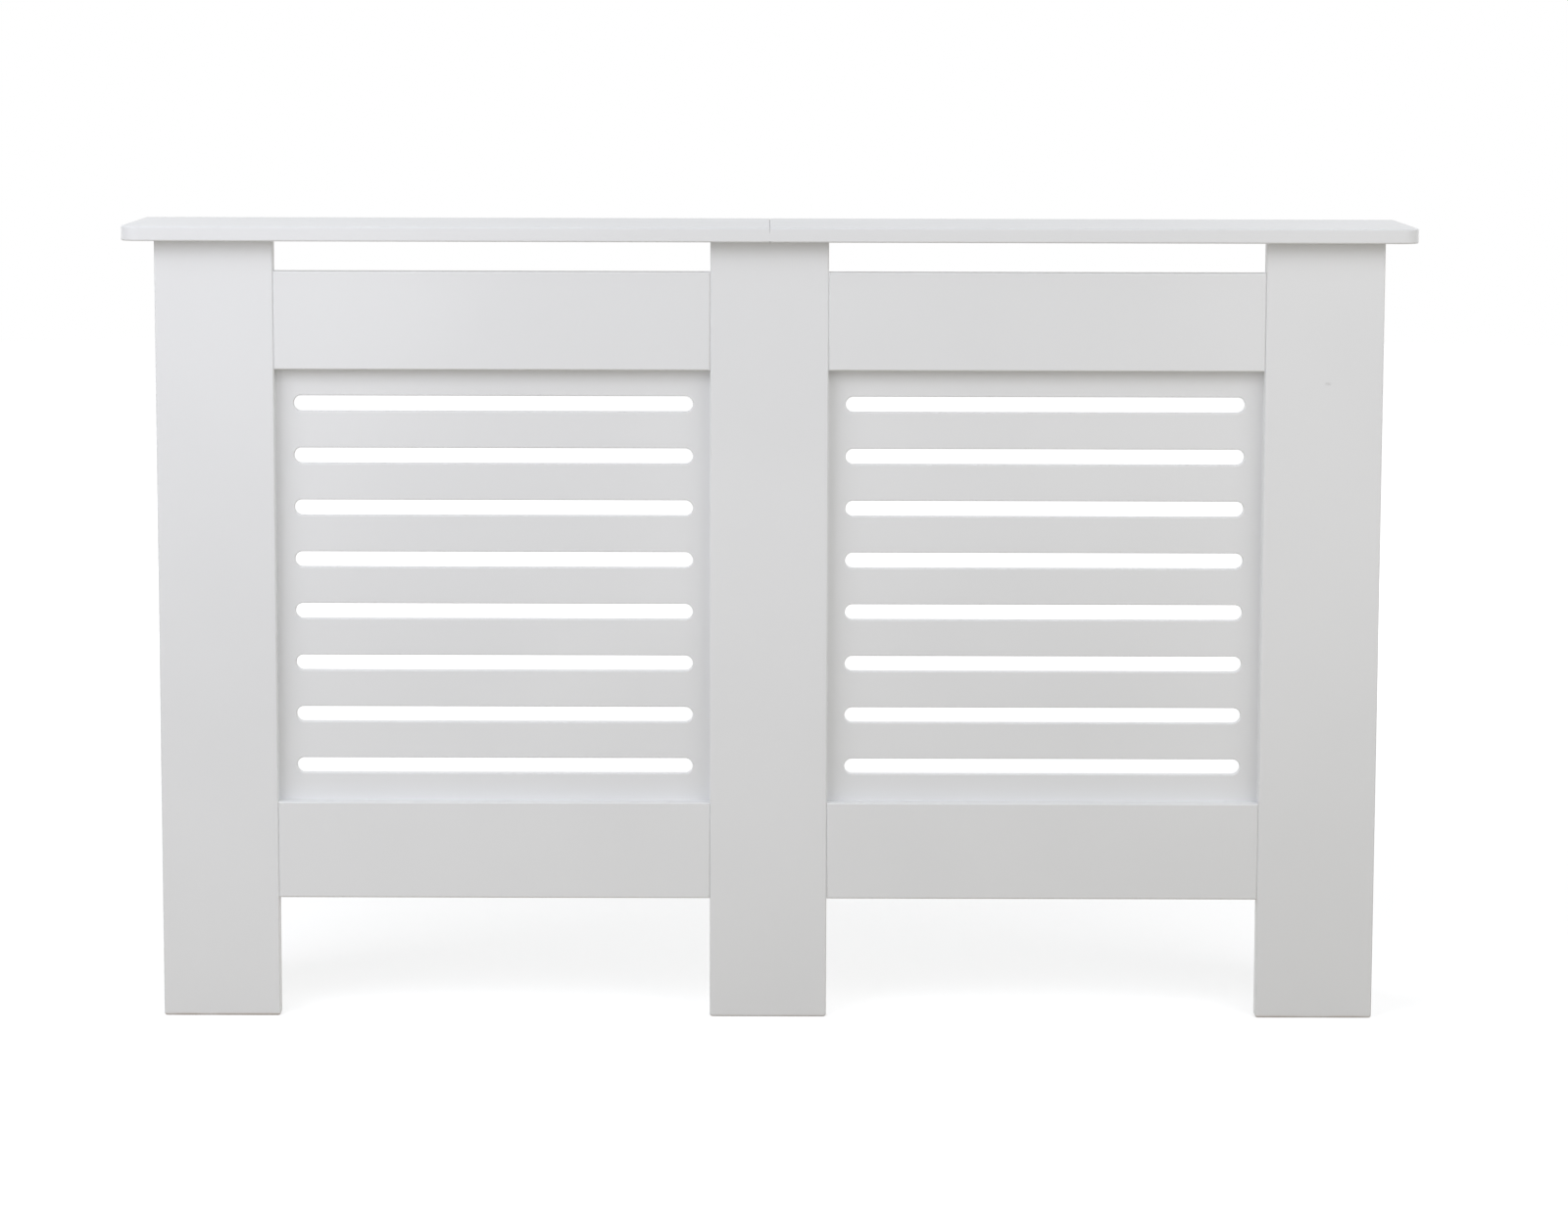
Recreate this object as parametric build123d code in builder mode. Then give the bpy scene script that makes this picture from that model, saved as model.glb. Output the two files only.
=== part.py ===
from build123d import *
import os

# Radiator cover cabinet, in millimetres.
# A face frame of three posts and four rails is glued up edge to edge on biscuits, with two slotted
# grille panels glued to its back. Two side panels run from the outer posts to the wall and are drawn
# tight by cam fittings. The shelf is in two halves: dowels in the posts locate them, a steel plate
# joins them under the seam, and two steel angle brackets tie them to the wall.
# +X is to the right seen from the room, +Y points at the wall, +Z is up.
# The origin is on the floor, at the centre of the footprint.

# ---- Driving dimensions: boards ----
board = 15.0  # thickness of every painted board but the grilles
arris = 1.2  # eased edge round each face that shows
post_width = 120.0
bay_width = 443.0  # clear width between two posts
bay_height = 445.0  # clear height between the two rails of a bay
rail_height = 100.0
foot_gap = 124.0  # floor to the bottom rails
vent_gap = 31.0  # top rails to the shelf, where the warm air leaves
foot_radius = 3.0  # lower corners of the posts
cabinet_depth = 190.0  # wall to the front edge of the shelf
shelf_front_overhang = 20.0
shelf_side_overhang = 33.0
shelf_corner_radius = 20.0
skirting_height = 120.0  # cut-out in the side panels for the skirting board
skirting_depth = 20.0

# ---- Driving dimensions: grilles ----
grille_thickness = 9.0
grille_lap = 20.0  # how far a grille reaches behind the posts and rails that it is glued to
slot_height = 16.0
slot_pitch = 53.4
slot_side_margin = 18.0  # end of a slot to the post beside it
slot_end_margin = 24.0  # least distance from the outer slots to the rails

# ---- Driving dimensions: biscuits in the butt joints of the frame ----
biscuit_length = 56.0
biscuit_width = 23.0
biscuit_end = 6.0  # flat at each end of a biscuit
biscuit_thickness = 4.0
cutter_radius = 50.0  # of the disc that cuts the slots
biscuit_slot_depth = 12.5

# ---- Driving dimensions: cam fittings of the side panels ----
cam_radius = 7.5  # of the pocket
cam_height = 11.5
cam_sink = 0.5  # face of the cam below the face of its board
cam_floor_gap = 0.3  # play under the cam
cam_setback = 24.0  # joint to the centre of the cam
cam_rim = 2.4  # wall of the cam that the bolt head pulls on
driver_slot_length = 9.0
driver_slot_width = 1.6
driver_slot_depth = 2.0
bolt_radius = 2.5
bolt_grip = 11.0  # threaded length in the post
bolt_head_radius = 3.5
bolt_head_length = 2.5
bolt_bore_radius = 4.0  # lets the head of the bolt through the edge of the side panel
side_cam_inset = 100.0  # ends of a side panel to its cam fittings
fit = 0.1  # clearance all round a piece that slides into place

# ---- Driving dimensions: dowels, screws and steel ----
dowel_radius = 4.0  # of the bore
dowel_length = 30.0
dowel_in_shelf = 10.0
dowel_end_gap = 1.0
dowel_inset = 22.0  # side of a post to its dowel
screw_radius = 1.75
screw_length = 14.0  # under the head
screw_head_radius = 3.5
screw_head_height = 2.0
steel = 2.0  # thickness of the brackets and the joining plate
bracket_width = 20.0
bracket_leg = 30.0
bracket_bend_radius = 2.5  # inside of the bend
bracket_inset = 60.0  # inside of a side panel to the centre of its bracket
bracket_hole_inset = 10.0  # end of a leg to its hole
wall_hole_radius = 2.75
plate_length = 60.0
plate_width = 20.0
plate_hole_inset = 10.0

# ---- Overall sizes, levels and planes ----
frame_width = 3 * post_width + 2 * bay_width
frame_height = foot_gap + 2 * rail_height + bay_height + vent_gap
shelf_half_width = frame_width / 2 + shelf_side_overhang
wall_y = cabinet_depth / 2
frame_front_y = shelf_front_overhang - cabinet_depth / 2
frame_back_y = frame_front_y + board
board_mid_y = frame_front_y + board / 2
outer_post_x = (frame_width - post_width) / 2
bay_x = (post_width + bay_width) / 2
side_inner_x = frame_width / 2 - board
bottom_rail_z = foot_gap + rail_height / 2
top_rail_z = frame_height - vent_gap - rail_height / 2
bay_z = foot_gap + rail_height + bay_height / 2

front_plane = Plane.XZ.offset(-frame_front_y)
back_plane = Plane((0, frame_back_y, 0), x_dir=(-1, 0, 0), z_dir=(0, 1, 0))
shelf_plane = Plane.XY.offset(frame_height)


def mirrored(plane):
    """The same plane on the other side of the cabinet's middle."""
    origin, x_dir, z_dir = (Vector(-v.X, v.Y, v.Z) for v in (plane.origin, plane.x_dir, plane.z_dir))
    return Plane(origin, x_dir=x_dir, z_dir=z_dir)


def both_sides(planes):
    """The planes and their mirror images."""
    return planes + [mirrored(plane) for plane in planes]


# ---- Biscuit joints between the rails and the posts of the right bay ----
# The plane of a joint lies in the middle of the boards' thickness, with its X along the joint.
inner_joints, outer_joints = (
    [
        Plane((bay_x + end * bay_width / 2, board_mid_y, rail_z), x_dir=(0, 0, 1), z_dir=(0, 1, 0))
        for rail_z in (bottom_rail_z, top_rail_z)
    ]
    for end in (-1, 1)
)

with BuildPart() as biscuit:
    with BuildSketch():
        with BuildLine() as half:
            tip = (biscuit_length / 2, biscuit_end / 2)
            Line((tip[0], 0), tip)
            ThreePointArc(tip, (0, biscuit_width / 2), (-tip[0], tip[1]))
            Line((-tip[0], tip[1]), (-tip[0], 0))
            mirror(about=Plane.XZ)
        make_face()
    extrude(amount=biscuit_thickness / 2, both=True)


def cut_biscuit_slots(joints, board_x):
    """Slots of the disc cutter at the joints, in the board whose middle is at board_x."""
    for joint in joints:
        reach = biscuit_slot_depth - cutter_radius
        away = reach if board_x > joint.origin.X else -reach
        with Locations(Plane(joint.origin + Vector(away, 0, 0), x_dir=joint.x_dir, z_dir=joint.z_dir)):
            Cylinder(cutter_radius, biscuit_thickness + 2 * fit, mode=Mode.SUBTRACT)


# ---- Cam fittings between the right side panel and the right post ----
# X of a fitting's plane runs from the joint into the side panel, Z towards the face with the cam.
side_fittings = [
    Plane((side_inner_x + board / 2, frame_back_y, z), x_dir=(0, 1, 0), z_dir=(-1, 0, 0))
    for z in (side_cam_inset, frame_height - side_cam_inset)
]
cam_seats = [
    Plane(fitting.from_local_coords((cam_setback, 0, board / 2)), x_dir=fitting.x_dir, z_dir=fitting.z_dir)
    for fitting in side_fittings
]
bolt_head_x = cam_setback - cam_radius + cam_rim + 2 * fit

# Drawn on its seat: the bolt comes in along +X, through a claw that holds its head.
with BuildPart() as cam:
    with BuildSketch(Plane.XY.offset(-cam_sink)):
        Circle(cam_radius - fit)
    extrude(amount=-cam_height)
    with BuildSketch(Plane.XY.offset(-cam_sink)):
        Rectangle(driver_slot_length, driver_slot_width)
    extrude(amount=-driver_slot_depth, mode=Mode.SUBTRACT)
    claw_plane = Plane((-cam_setback, 0, -board / 2), x_dir=(0, 1, 0), z_dir=(1, 0, 0))
    with BuildSketch(claw_plane):
        Rectangle(2 * (bolt_radius + fit), 2 * (bolt_radius + fit))
    extrude(amount=bolt_head_x, mode=Mode.SUBTRACT)
    with BuildSketch(claw_plane.offset(bolt_head_x - fit)):
        Rectangle(2 * (bolt_head_radius + fit), 2 * (bolt_head_radius + fit))
    extrude(amount=bolt_head_length + 2 * fit, mode=Mode.SUBTRACT)

# Drawn on its joint: the thread lies below zero, the head in the cam.
with BuildPart() as cam_bolt:
    with BuildSketch(Plane.YZ.offset(-bolt_grip)):
        Circle(bolt_radius)
    extrude(amount=bolt_grip + bolt_head_x)
    with BuildSketch(Plane.YZ.offset(bolt_head_x)):
        Circle(bolt_head_radius)
    extrude(amount=bolt_head_length)


# ---- Dowels between the shelf and the right and centre posts ----
# Z of a dowel's plane runs down into the post.
centre_dowel, outer_dowel = (
    Plane((x, board_mid_y, frame_height), x_dir=(1, 0, 0), z_dir=(0, 0, -1))
    for x in (post_width / 2 - dowel_inset, outer_post_x - post_width / 2 + dowel_inset)
)

with BuildPart() as dowel:
    with BuildSketch(Plane.XY.offset(-dowel_in_shelf)):
        Circle(dowel_radius - fit)
    extrude(amount=dowel_length)


# ---- Pan-head screws that hold the steel under the right half of the shelf ----
# Z of a screw's plane points down, out of the steel that its head lies on.
bracket_x = side_inner_x - bracket_inset
bracket_end_y = wall_y - bracket_leg
plate_y = (frame_back_y + wall_y) / 2
bracket_screw, plate_screw = (
    Plane((x, y, frame_height - steel), x_dir=(1, 0, 0), z_dir=(0, 0, -1))
    for x, y in (
        (bracket_x, bracket_end_y + bracket_hole_inset),
        (plate_length / 2 - plate_hole_inset, plate_y),
    )
)

with BuildPart() as screw:
    with BuildSketch():
        Circle(screw_head_radius)
    extrude(amount=screw_head_height)
    with BuildSketch():
        Circle(screw_radius)
    extrude(amount=-screw_length)


# ---- Posts ----
def make_post(centre_x, joints, dowels, bolts=()):
    """One post with rounded feet and an eased front, cut and bored for what is fitted to it."""
    with BuildPart() as post:
        with BuildSketch(front_plane) as outline:
            with Locations((centre_x, frame_height / 2)):
                Rectangle(post_width, frame_height)
            fillet(outline.vertices().group_by(Axis.Y)[0], foot_radius)
        extrude(amount=-board)
        chamfer(post.faces().sort_by(Axis.Y)[0].edges(), arris)
        cut_biscuit_slots(joints, centre_x)
        for plane in dowels:
            with Locations(Plane(plane.origin)):
                Hole(dowel_radius, dowel_length - dowel_in_shelf + dowel_end_gap)
        for fitting in bolts:
            with Locations(Plane(fitting.origin, z_dir=fitting.x_dir)):
                Hole(bolt_radius, bolt_grip)
    return post


post_right = make_post(outer_post_x, outer_joints, [outer_dowel], side_fittings)
post_centre = make_post(0, both_sides(inner_joints), both_sides([centre_dowel]))


# ---- Rails of the right bay ----
def make_rail(rail_z):
    """One rail between the centre post and the right post, eased on its front."""
    with BuildPart() as rail:
        with BuildSketch(front_plane):
            with Locations((bay_x, rail_z)):
                Rectangle(bay_width, rail_height)
        extrude(amount=-board)
        chamfer(rail.faces().sort_by(Axis.Y)[0].edges(), arris)
        ends = [joint for joint in inner_joints + outer_joints if joint.origin.Z == rail_z]
        cut_biscuit_slots(ends, bay_x)
    return rail


bottom_rail_right = make_rail(bottom_rail_z)
top_rail_right = make_rail(top_rail_z)

# ---- Grille: one panel with a ladder of round-ended slots ----
slot_count = int((bay_height - 2 * slot_end_margin - slot_height) // slot_pitch) + 1
with BuildPart() as grille_right:
    with BuildSketch(back_plane):
        with Locations((-bay_x, bay_z)):
            Rectangle(bay_width + 2 * grille_lap, bay_height + 2 * grille_lap)
            with GridLocations(0, slot_pitch, 1, slot_count):
                SlotOverall(bay_width - 2 * slot_side_margin, slot_height, mode=Mode.SUBTRACT)
    extrude(amount=grille_thickness)

# ---- Side panel, cut out at the bottom for the skirting board ----
with BuildPart() as side_panel_right:
    with BuildSketch(Plane.YZ.offset(side_inner_x)):
        with BuildLine():
            Polyline(
                (frame_back_y, 0),
                (wall_y - skirting_depth, 0),
                (wall_y - skirting_depth, skirting_height),
                (wall_y, skirting_height),
                (wall_y, frame_height),
                (frame_back_y, frame_height),
                close=True,
            )
        make_face()
    extrude(amount=board)
    with Locations(*cam_seats):
        Hole(cam_radius, cam_sink + cam_height + cam_floor_gap)
    with Locations(*[Plane(fitting.origin, z_dir=-fitting.x_dir) for fitting in side_fittings]):
        Hole(bolt_bore_radius, cam_setback)

# ---- Shelf, right half: eased all round but for the edge at the wall ----
with BuildPart() as shelf_right:
    with BuildSketch(shelf_plane) as outline:
        with Locations((shelf_half_width / 2, 0)):
            Rectangle(shelf_half_width, cabinet_depth)
        fillet(outline.vertices().group_by(Axis.X)[-1].sort_by(Axis.Y)[0], shelf_corner_radius)
    extrude(amount=board)
    rims = faces().filter_by(Axis.Z).edges()
    chamfer(rims - rims.group_by(Axis.Y)[-1], arris)
    with Locations(centre_dowel, outer_dowel):
        Hole(dowel_radius, dowel_in_shelf + dowel_end_gap)
    with Locations(bracket_screw.offset(-steel), plate_screw.offset(-steel)):
        Hole(screw_radius, screw_length - steel)

# ---- Wall bracket: a steel angle under the shelf, with a hole for the wall screw ----
with BuildPart() as wall_bracket_right:
    with BuildSketch(Plane.YZ.offset(bracket_x)):
        with BuildLine():
            FilletPolyline(
                (bracket_end_y, frame_height),
                (wall_y, frame_height),
                (wall_y, frame_height - bracket_leg),
                radius=bracket_bend_radius + steel,
            )
            offset(amount=-steel, side=Side.RIGHT)
        make_face()
    extrude(amount=bracket_width / 2, both=True)
    with Locations(bracket_screw):
        Hole(screw_radius + fit, steel)
    wall_hole = (bracket_x, wall_y - steel, frame_height - bracket_leg + bracket_hole_inset)
    with Locations(Plane(wall_hole, x_dir=(1, 0, 0), z_dir=(0, -1, 0))):
        Hole(wall_hole_radius, steel)

# ---- Joining plate under the seam of the shelf ----
with BuildPart() as seam_plate:
    with BuildSketch(shelf_plane):
        with Locations((0, plate_y)):
            SlotOverall(plate_length, plate_width)
    extrude(amount=-steel)
    with Locations(*both_sides([plate_screw])):
        Hole(screw_radius + fit, steel)


# ---- Groups of like fasteners ----
def set_out(piece, planes):
    """A group that holds one copy of a finished piece at each plane."""
    with BuildPart() as group:
        with Locations(*planes):
            add(piece.part)
    return group


right_side = {
    "shelf": shelf_right,
    "post": post_right,
    "top_rail": top_rail_right,
    "bottom_rail": bottom_rail_right,
    "grille": grille_right,
    "side_panel": side_panel_right,
    "wall_bracket": wall_bracket_right,
    "frame_biscuits": set_out(biscuit, inner_joints + outer_joints),
    "side_cams": set_out(cam, cam_seats),
    "side_cam_bolts": set_out(cam_bolt, side_fittings),
    "shelf_dowels": set_out(dowel, [centre_dowel, outer_dowel]),
    "bracket_screw": set_out(screw, [bracket_screw]),
}
in_the_middle = {
    "post_centre": post_centre,
    "seam_plate": seam_plate,
    "seam_plate_screws": set_out(screw, both_sides([plate_screw])),
}

# ---- Write every node; the left side mirrors the right ----
os.makedirs("parts", exist_ok=True)


def write_node(piece, name):
    """Label a finished piece and write it as a STEP file of the same name."""
    piece.part.label = name
    export_step(piece.part, f"parts/{name}.step")


for name, piece in in_the_middle.items():
    write_node(piece, name)
for name, piece in right_side.items():
    with BuildPart() as opposite:
        mirror(piece.part, about=Plane.YZ)
    write_node(piece, name + "_right")
    write_node(opposite, name + "_left")
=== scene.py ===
"""A radiator cover cabinet in white painted fibreboard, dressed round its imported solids."""

import logging
import math
from dataclasses import dataclass, field
from enum import Enum
from typing import Callable, Iterable, Sequence

import bmesh
import bpy
from bmesh.types import BMEdge, BMesh
from bpy.types import Material, Mesh, Node, NodeSocket
from mathutils import Euler, Matrix, Vector


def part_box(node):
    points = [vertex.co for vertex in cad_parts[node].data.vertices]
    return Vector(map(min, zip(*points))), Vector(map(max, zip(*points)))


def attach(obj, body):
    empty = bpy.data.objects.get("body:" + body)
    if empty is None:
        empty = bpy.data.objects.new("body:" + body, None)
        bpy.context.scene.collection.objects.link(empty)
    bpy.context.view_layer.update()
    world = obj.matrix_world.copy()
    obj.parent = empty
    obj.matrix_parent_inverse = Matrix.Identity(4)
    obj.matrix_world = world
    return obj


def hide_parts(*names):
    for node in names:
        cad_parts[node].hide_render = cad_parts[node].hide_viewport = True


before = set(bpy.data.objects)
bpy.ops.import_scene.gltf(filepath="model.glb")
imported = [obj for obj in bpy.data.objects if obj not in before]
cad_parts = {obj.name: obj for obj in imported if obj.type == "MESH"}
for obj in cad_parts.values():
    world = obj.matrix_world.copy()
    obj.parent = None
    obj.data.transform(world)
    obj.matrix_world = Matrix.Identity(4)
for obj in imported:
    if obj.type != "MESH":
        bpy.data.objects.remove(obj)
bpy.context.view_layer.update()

log = logging.getLogger("radiator_cover")

Colour = tuple[float, float, float]
Point = tuple[float, float, float]
Value = object  # a number, a colour, a node or one of its outputs

MM = 0.001
ROOT = "root"  # nothing on the cabinet moves, so one body carries every piece
WELD = 0.02 * MM  # points nearer than this are one
SLIVER = 0.004 * MM  # a face narrower than this is only a hair
NEAR = 0.1 * MM  # nearer to a plane than this counts as on it
EASED = (30, 60)  # degrees that an edge turns beside an eased arris of the solid
SQUARE = (60, 120)  # degrees that a square edge turns
FLAT = 0.5  # degrees; faces that turn less from each other lie in one flat
STEPS = 3  # faces across the rounding of a plain edge
FINE_STEPS = 2  # faces across a smaller one
PER_TURN = 8  # rings for each turn of a thread


class Slot(Enum):
    """Material slots of the record."""

    BOARD = "painted_board"
    CAM = "zinc_cam"
    STEEL = "zinc_plated_steel"
    BEECH = "beech"


class Hand(Enum):
    """The two sides of the cabinet."""

    LEFT = "left"
    RIGHT = "right"

    def node(self, piece: str) -> str:
        """The name of a piece on this side."""
        return f"{piece}_{self.value}"


# ---- Node trees ----


class NodeTree:
    """A node tree, with short ways to add and join its nodes."""

    def __init__(self, tree: bpy.types.NodeTree) -> None:
        """Takes over the tree of a material, a world or a Geometry Nodes group, and empties it."""
        self.tree = tree
        self.tree.nodes.clear()

    def feed(self, socket: NodeSocket, value: Value) -> None:
        """Joins an input to a node or an output, or sets its value.

        Args:
            socket: The input.
            value: A node, whose first shown output is taken, an output, or a plain value.
        """
        if isinstance(value, Node):
            value = next(out for out in value.outputs if out.enabled)
        if isinstance(value, NodeSocket):
            self.tree.links.new(value, socket)
        else:
            socket.default_value = value

    def add(self, kind: str, inputs: dict[str | int, Value] | None = None, **settings: object) -> Node:
        """Adds a node.

        Args:
            kind: Its type's identifier.
            inputs: What feeds its inputs, by name or place.
            **settings: Its own properties.

        Returns:
            The node.
        """
        node = self.tree.nodes.new(kind)
        for name, value in settings.items():
            setattr(node, name, value)
        for key, value in (inputs or {}).items():
            self.feed(node.inputs[key], value)
        return node

    def math(self, operation: str, *values: Value) -> Node:
        """A Math node of a shader or geometry tree on these values."""
        return self.add("ShaderNodeMath", dict(enumerate(values)), operation=operation)


class ShaderTree(NodeTree):
    """The nodes of one material."""

    def __init__(self, name: str) -> None:
        """Makes a material with an empty tree.

        Args:
            name: The material's name.
        """
        self.material = bpy.data.materials.new(name)
        self.material.use_nodes = True
        super().__init__(self.material.node_tree)
        self.place = self.add("ShaderNodeTexCoord").outputs["Object"]

    def noise(self, size: float, detail: float = 3.0, stretch: Point = (1, 1, 1)) -> Node:
        """Noise over the piece's own place in space.

        Args:
            size: Width of its features in metres.
            detail: Octaves.
            stretch: How much longer the features are along each axis.

        Returns:
            The noise node, whose first output is its height.
        """
        scale = tuple(1 / (size * s) for s in stretch)
        mapped = self.add("ShaderNodeMapping", {"Vector": self.place, "Scale": scale})
        return self.add("ShaderNodeTexNoise", {"Vector": mapped, "Scale": 1.0, "Detail": detail})

    def span(self, value: Value, low: float, high: float, start: float, end: float) -> Node:
        """Maps a value smoothly, so that low becomes start and high becomes end, and clamps it."""
        limits = {"Value": value, "From Min": low, "From Max": high, "To Min": start, "To Max": end}
        return self.add("ShaderNodeMapRange", limits, interpolation_type="SMOOTHSTEP")

    def patches(self, size: float, detail: float) -> Node:
        """Soft-edged patches of this size, from zero to one."""
        return self.span(self.noise(size, detail), 0.35, 0.65, 0.0, 1.0)

    def blend(self, share: Value, first: Value, second: Value) -> NodeSocket:
        """The colour between two colours that holds this share of the second one."""
        inputs = {0: share, 6: opaque(first), 7: opaque(second)}
        return self.add("ShaderNodeMix", inputs, data_type="RGBA").outputs[2]

    def bump(self, height: Value, depth: float, normal: Value | None = None) -> Node:
        """Turns a height into a normal.

        Args:
            height: The height, from zero to one.
            depth: How deep that is, in metres.
            normal: A normal to start from.

        Returns:
            The bump node.
        """
        inputs = {"Height": height, "Distance": depth, "Strength": 1.0}
        if normal is not None:
            inputs["Normal"] = normal
        return self.add("ShaderNodeBump", inputs)

    def finish(self, **inputs: Value) -> Material:
        """Closes the tree with a Principled shader.

        Args:
            **inputs: What feeds the shader, with underscores for the spaces in the sockets' names.

        Returns:
            The material.
        """
        named = {name.replace("_", " "): opaque(value) for name, value in inputs.items()}
        shader = self.add("ShaderNodeBsdfPrincipled", named)
        self.add("ShaderNodeOutputMaterial", {"Surface": shader})
        return self.material


def opaque(colour: Value) -> Value:
    """A plain colour with its alpha, or what feeds a colour as it is."""
    return (*colour, 1.0) if isinstance(colour, tuple) and len(colour) == 3 else colour


class GeometryTree(NodeTree):
    """A Geometry Nodes tree with named inputs, which is run once and leaves a plain mesh."""

    def __init__(self, name: str, inputs: dict[str, str]) -> None:
        """Makes the group and its sockets.

        Args:
            name: The group's name.
            inputs: Kind of socket of each input after the geometry, by name.
        """
        super().__init__(bpy.data.node_groups.new(name, "GeometryNodeTree"))
        sides = [("Geometry", "OUTPUT", "Geometry"), ("Geometry", "INPUT", "Geometry")]
        sides += [(label, "INPUT", kind) for label, kind in {**inputs, "Finish": "Material"}.items()]
        for label, side, kind in sides:
            self.tree.interface.new_socket(label, in_out=side, socket_type=f"NodeSocket{kind}")
        self.given = self.add("NodeGroupInput").outputs

    def vector(self, **axes: Value) -> Node:
        """A vector from its parts; a part that isn't given is zero."""
        return self.add("ShaderNodeCombineXYZ", axes)

    def line(self, count: Value, start: Value, step: Value) -> Node:
        """A row of points, from its first one and the step to the next."""
        inputs = {"Count": count, "Start Location": start, "Offset": step}
        return self.add("GeometryNodeMeshLine", inputs, mode="OFFSET")

    def repeat(self, points: Value, piece: Value, turn: Value = (0.0, 0.0, 0.0)) -> Node:
        """Copies of a piece at points, all turned alike."""
        inputs = {"Points": points, "Instance": piece, "Rotation": turn}
        return self.add("GeometryNodeInstanceOnPoints", inputs)

    def close(self, geometry: Value) -> None:
        """Ends the tree: instances become a mesh, which gets its finish.

        Args:
            geometry: What the tree has made.
        """
        plain = self.add("GeometryNodeRealizeInstances", {"Geometry": geometry})
        welded = self.add("GeometryNodeMergeByDistance", {"Geometry": plain, "Distance": WELD})
        dressed = self.add("GeometryNodeSetMaterial", {"Geometry": welded, "Material": self.given["Finish"]})
        self.add("NodeGroupOutput", {"Geometry": dressed})

    def run(self, mesh: Mesh, finish: Material, **values: object) -> Mesh:
        """Runs the tree on a mesh.

        Args:
            mesh: The geometry that goes in.
            finish: Material of what comes out.
            **values: The other inputs, with underscores for spaces.

        Returns:
            A plain mesh.
        """
        holder = bpy.data.objects.new(self.tree.name, mesh)
        bpy.context.scene.collection.objects.link(holder)
        modifier = holder.modifiers.new("tree", "NODES")
        modifier.node_group = self.tree
        named = {name.replace("_", " "): value for name, value in values.items()} | {"Finish": finish}
        for item in self.tree.interface.items_tree:
            if item.in_out == "INPUT" and item.name in named:
                modifier[item.identifier] = named[item.name]
        graph = bpy.context.evaluated_depsgraph_get()
        made = bpy.data.meshes.new_from_object(holder.evaluated_get(graph), depsgraph=graph)
        holder.modifiers.clear()
        bpy.data.objects.remove(holder)
        bpy.data.meshes.remove(mesh)
        return made


# ---- Finishes ----


@dataclass(frozen=True)
class Scuff:
    """A faint grey rub mark on the paint."""

    place: Point
    length: float = 6 * MM
    height: float = 3 * MM
    colour: Colour = (0.42, 0.42, 0.41)
    strength: float = 0.3
    full_within: float = 0.1
    gone_beyond: float = 0.8
    ragged: float = 0.2


@dataclass(frozen=True)
class DarkFootBand:
    """A darker, browner band along the lower edge of a post, strongest at the floor."""

    strength: float
    full_below: float = 1.2 * MM
    gone_above: float = 3.6 * MM
    colour: Colour = (0.36, 0.25, 0.17)
    patch: float = 30 * MM
    least: float = 0.45  # of the strength, between the patches


@dataclass(frozen=True)
class SatinPaint:
    """White satin paint, sprayed and lightly rolled over fibreboard."""

    name: str = "satin_white_paint"
    colour: Colour = (0.79, 0.795, 0.8)
    shade: Colour = (0.765, 0.77, 0.775)
    roughness: float = 0.5
    drift: float = 350 * MM
    gloss_patch: float = 9 * MM
    wave: float = 24 * MM
    wave_depth: float = 0.03 * MM
    stipple: float = 1.4 * MM
    stipple_depth: float = 0.012 * MM
    scuffs: tuple[Scuff, ...] = ()
    foot: DarkFootBand | None = None

    def scuffed(self, tree: ShaderTree, colour: Value, scuff: Scuff) -> Value:
        """Lays one rub mark over a colour.

        Args:
            tree: The material's tree.
            colour: The colour below.
            scuff: The mark.

        Returns:
            The colour with the mark on it.
        """
        away = tree.add("ShaderNodeVectorMath", {0: tree.place, 1: scuff.place}, operation="SUBTRACT")
        scale = (1 / scuff.length, 1 / scuff.length, 1 / scuff.height)
        near = tree.add("ShaderNodeVectorMath", {0: away, 1: scale}, operation="MULTIPLY")
        reach = tree.add("ShaderNodeVectorMath", {0: near}, operation="LENGTH").outputs["Value"]
        uneven = tree.span(tree.noise(1.5 * MM), 0.3, 0.7, -scuff.ragged, scuff.ragged)
        ragged = tree.math("ADD", reach, uneven)
        mask = tree.span(ragged, scuff.full_within, scuff.gone_beyond, scuff.strength, 0.0)
        return tree.blend(mask, colour, scuff.colour)

    def tinted(self, tree: ShaderTree, colour: Value, foot: DarkFootBand) -> Value:
        """Darkens the paint towards brown along the lower edge, in short patches.

        Args:
            tree: The material's tree.
            colour: The colour above.
            foot: How much it shows.

        Returns:
            The colour with the tint in it.
        """
        height = tree.add("ShaderNodeSeparateXYZ", {"Vector": tree.place}).outputs["Z"]
        # darker and browner towards the bottom edge of the post
        low = tree.span(height, foot.full_below, foot.gone_above, foot.strength, 0.0)
        patches = tree.span(tree.noise(foot.patch, detail=5.0), 0.3, 0.6, foot.least, 1.0)
        return tree.blend(tree.math("MULTIPLY", low, patches), colour, foot.colour)

    def material(self) -> Material:
        """The paint as a material: drifts of tone, roller stipple and slow waves in the gloss.

        Returns:
            The material.
        """
        tree = ShaderTree(self.name)
        colour = tree.blend(tree.patches(self.drift, detail=2.0), self.colour, self.shade)
        for scuff in self.scuffs:
            colour = self.scuffed(tree, colour, scuff)
        if self.foot:
            colour = self.tinted(tree, colour, self.foot)
        dull = tree.noise(self.gloss_patch, detail=4.0)
        gloss = tree.span(dull, 0.3, 0.7, self.roughness - 0.04, self.roughness + 0.05)
        waves = tree.bump(tree.noise(self.wave, detail=2.0), self.wave_depth)
        stipple = tree.bump(tree.noise(self.stipple, detail=2.0), self.stipple_depth, waves)
        return tree.finish(Base_Color=colour, Roughness=gloss, Normal=stipple, Specular_IOR_Level=0.4)


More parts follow.
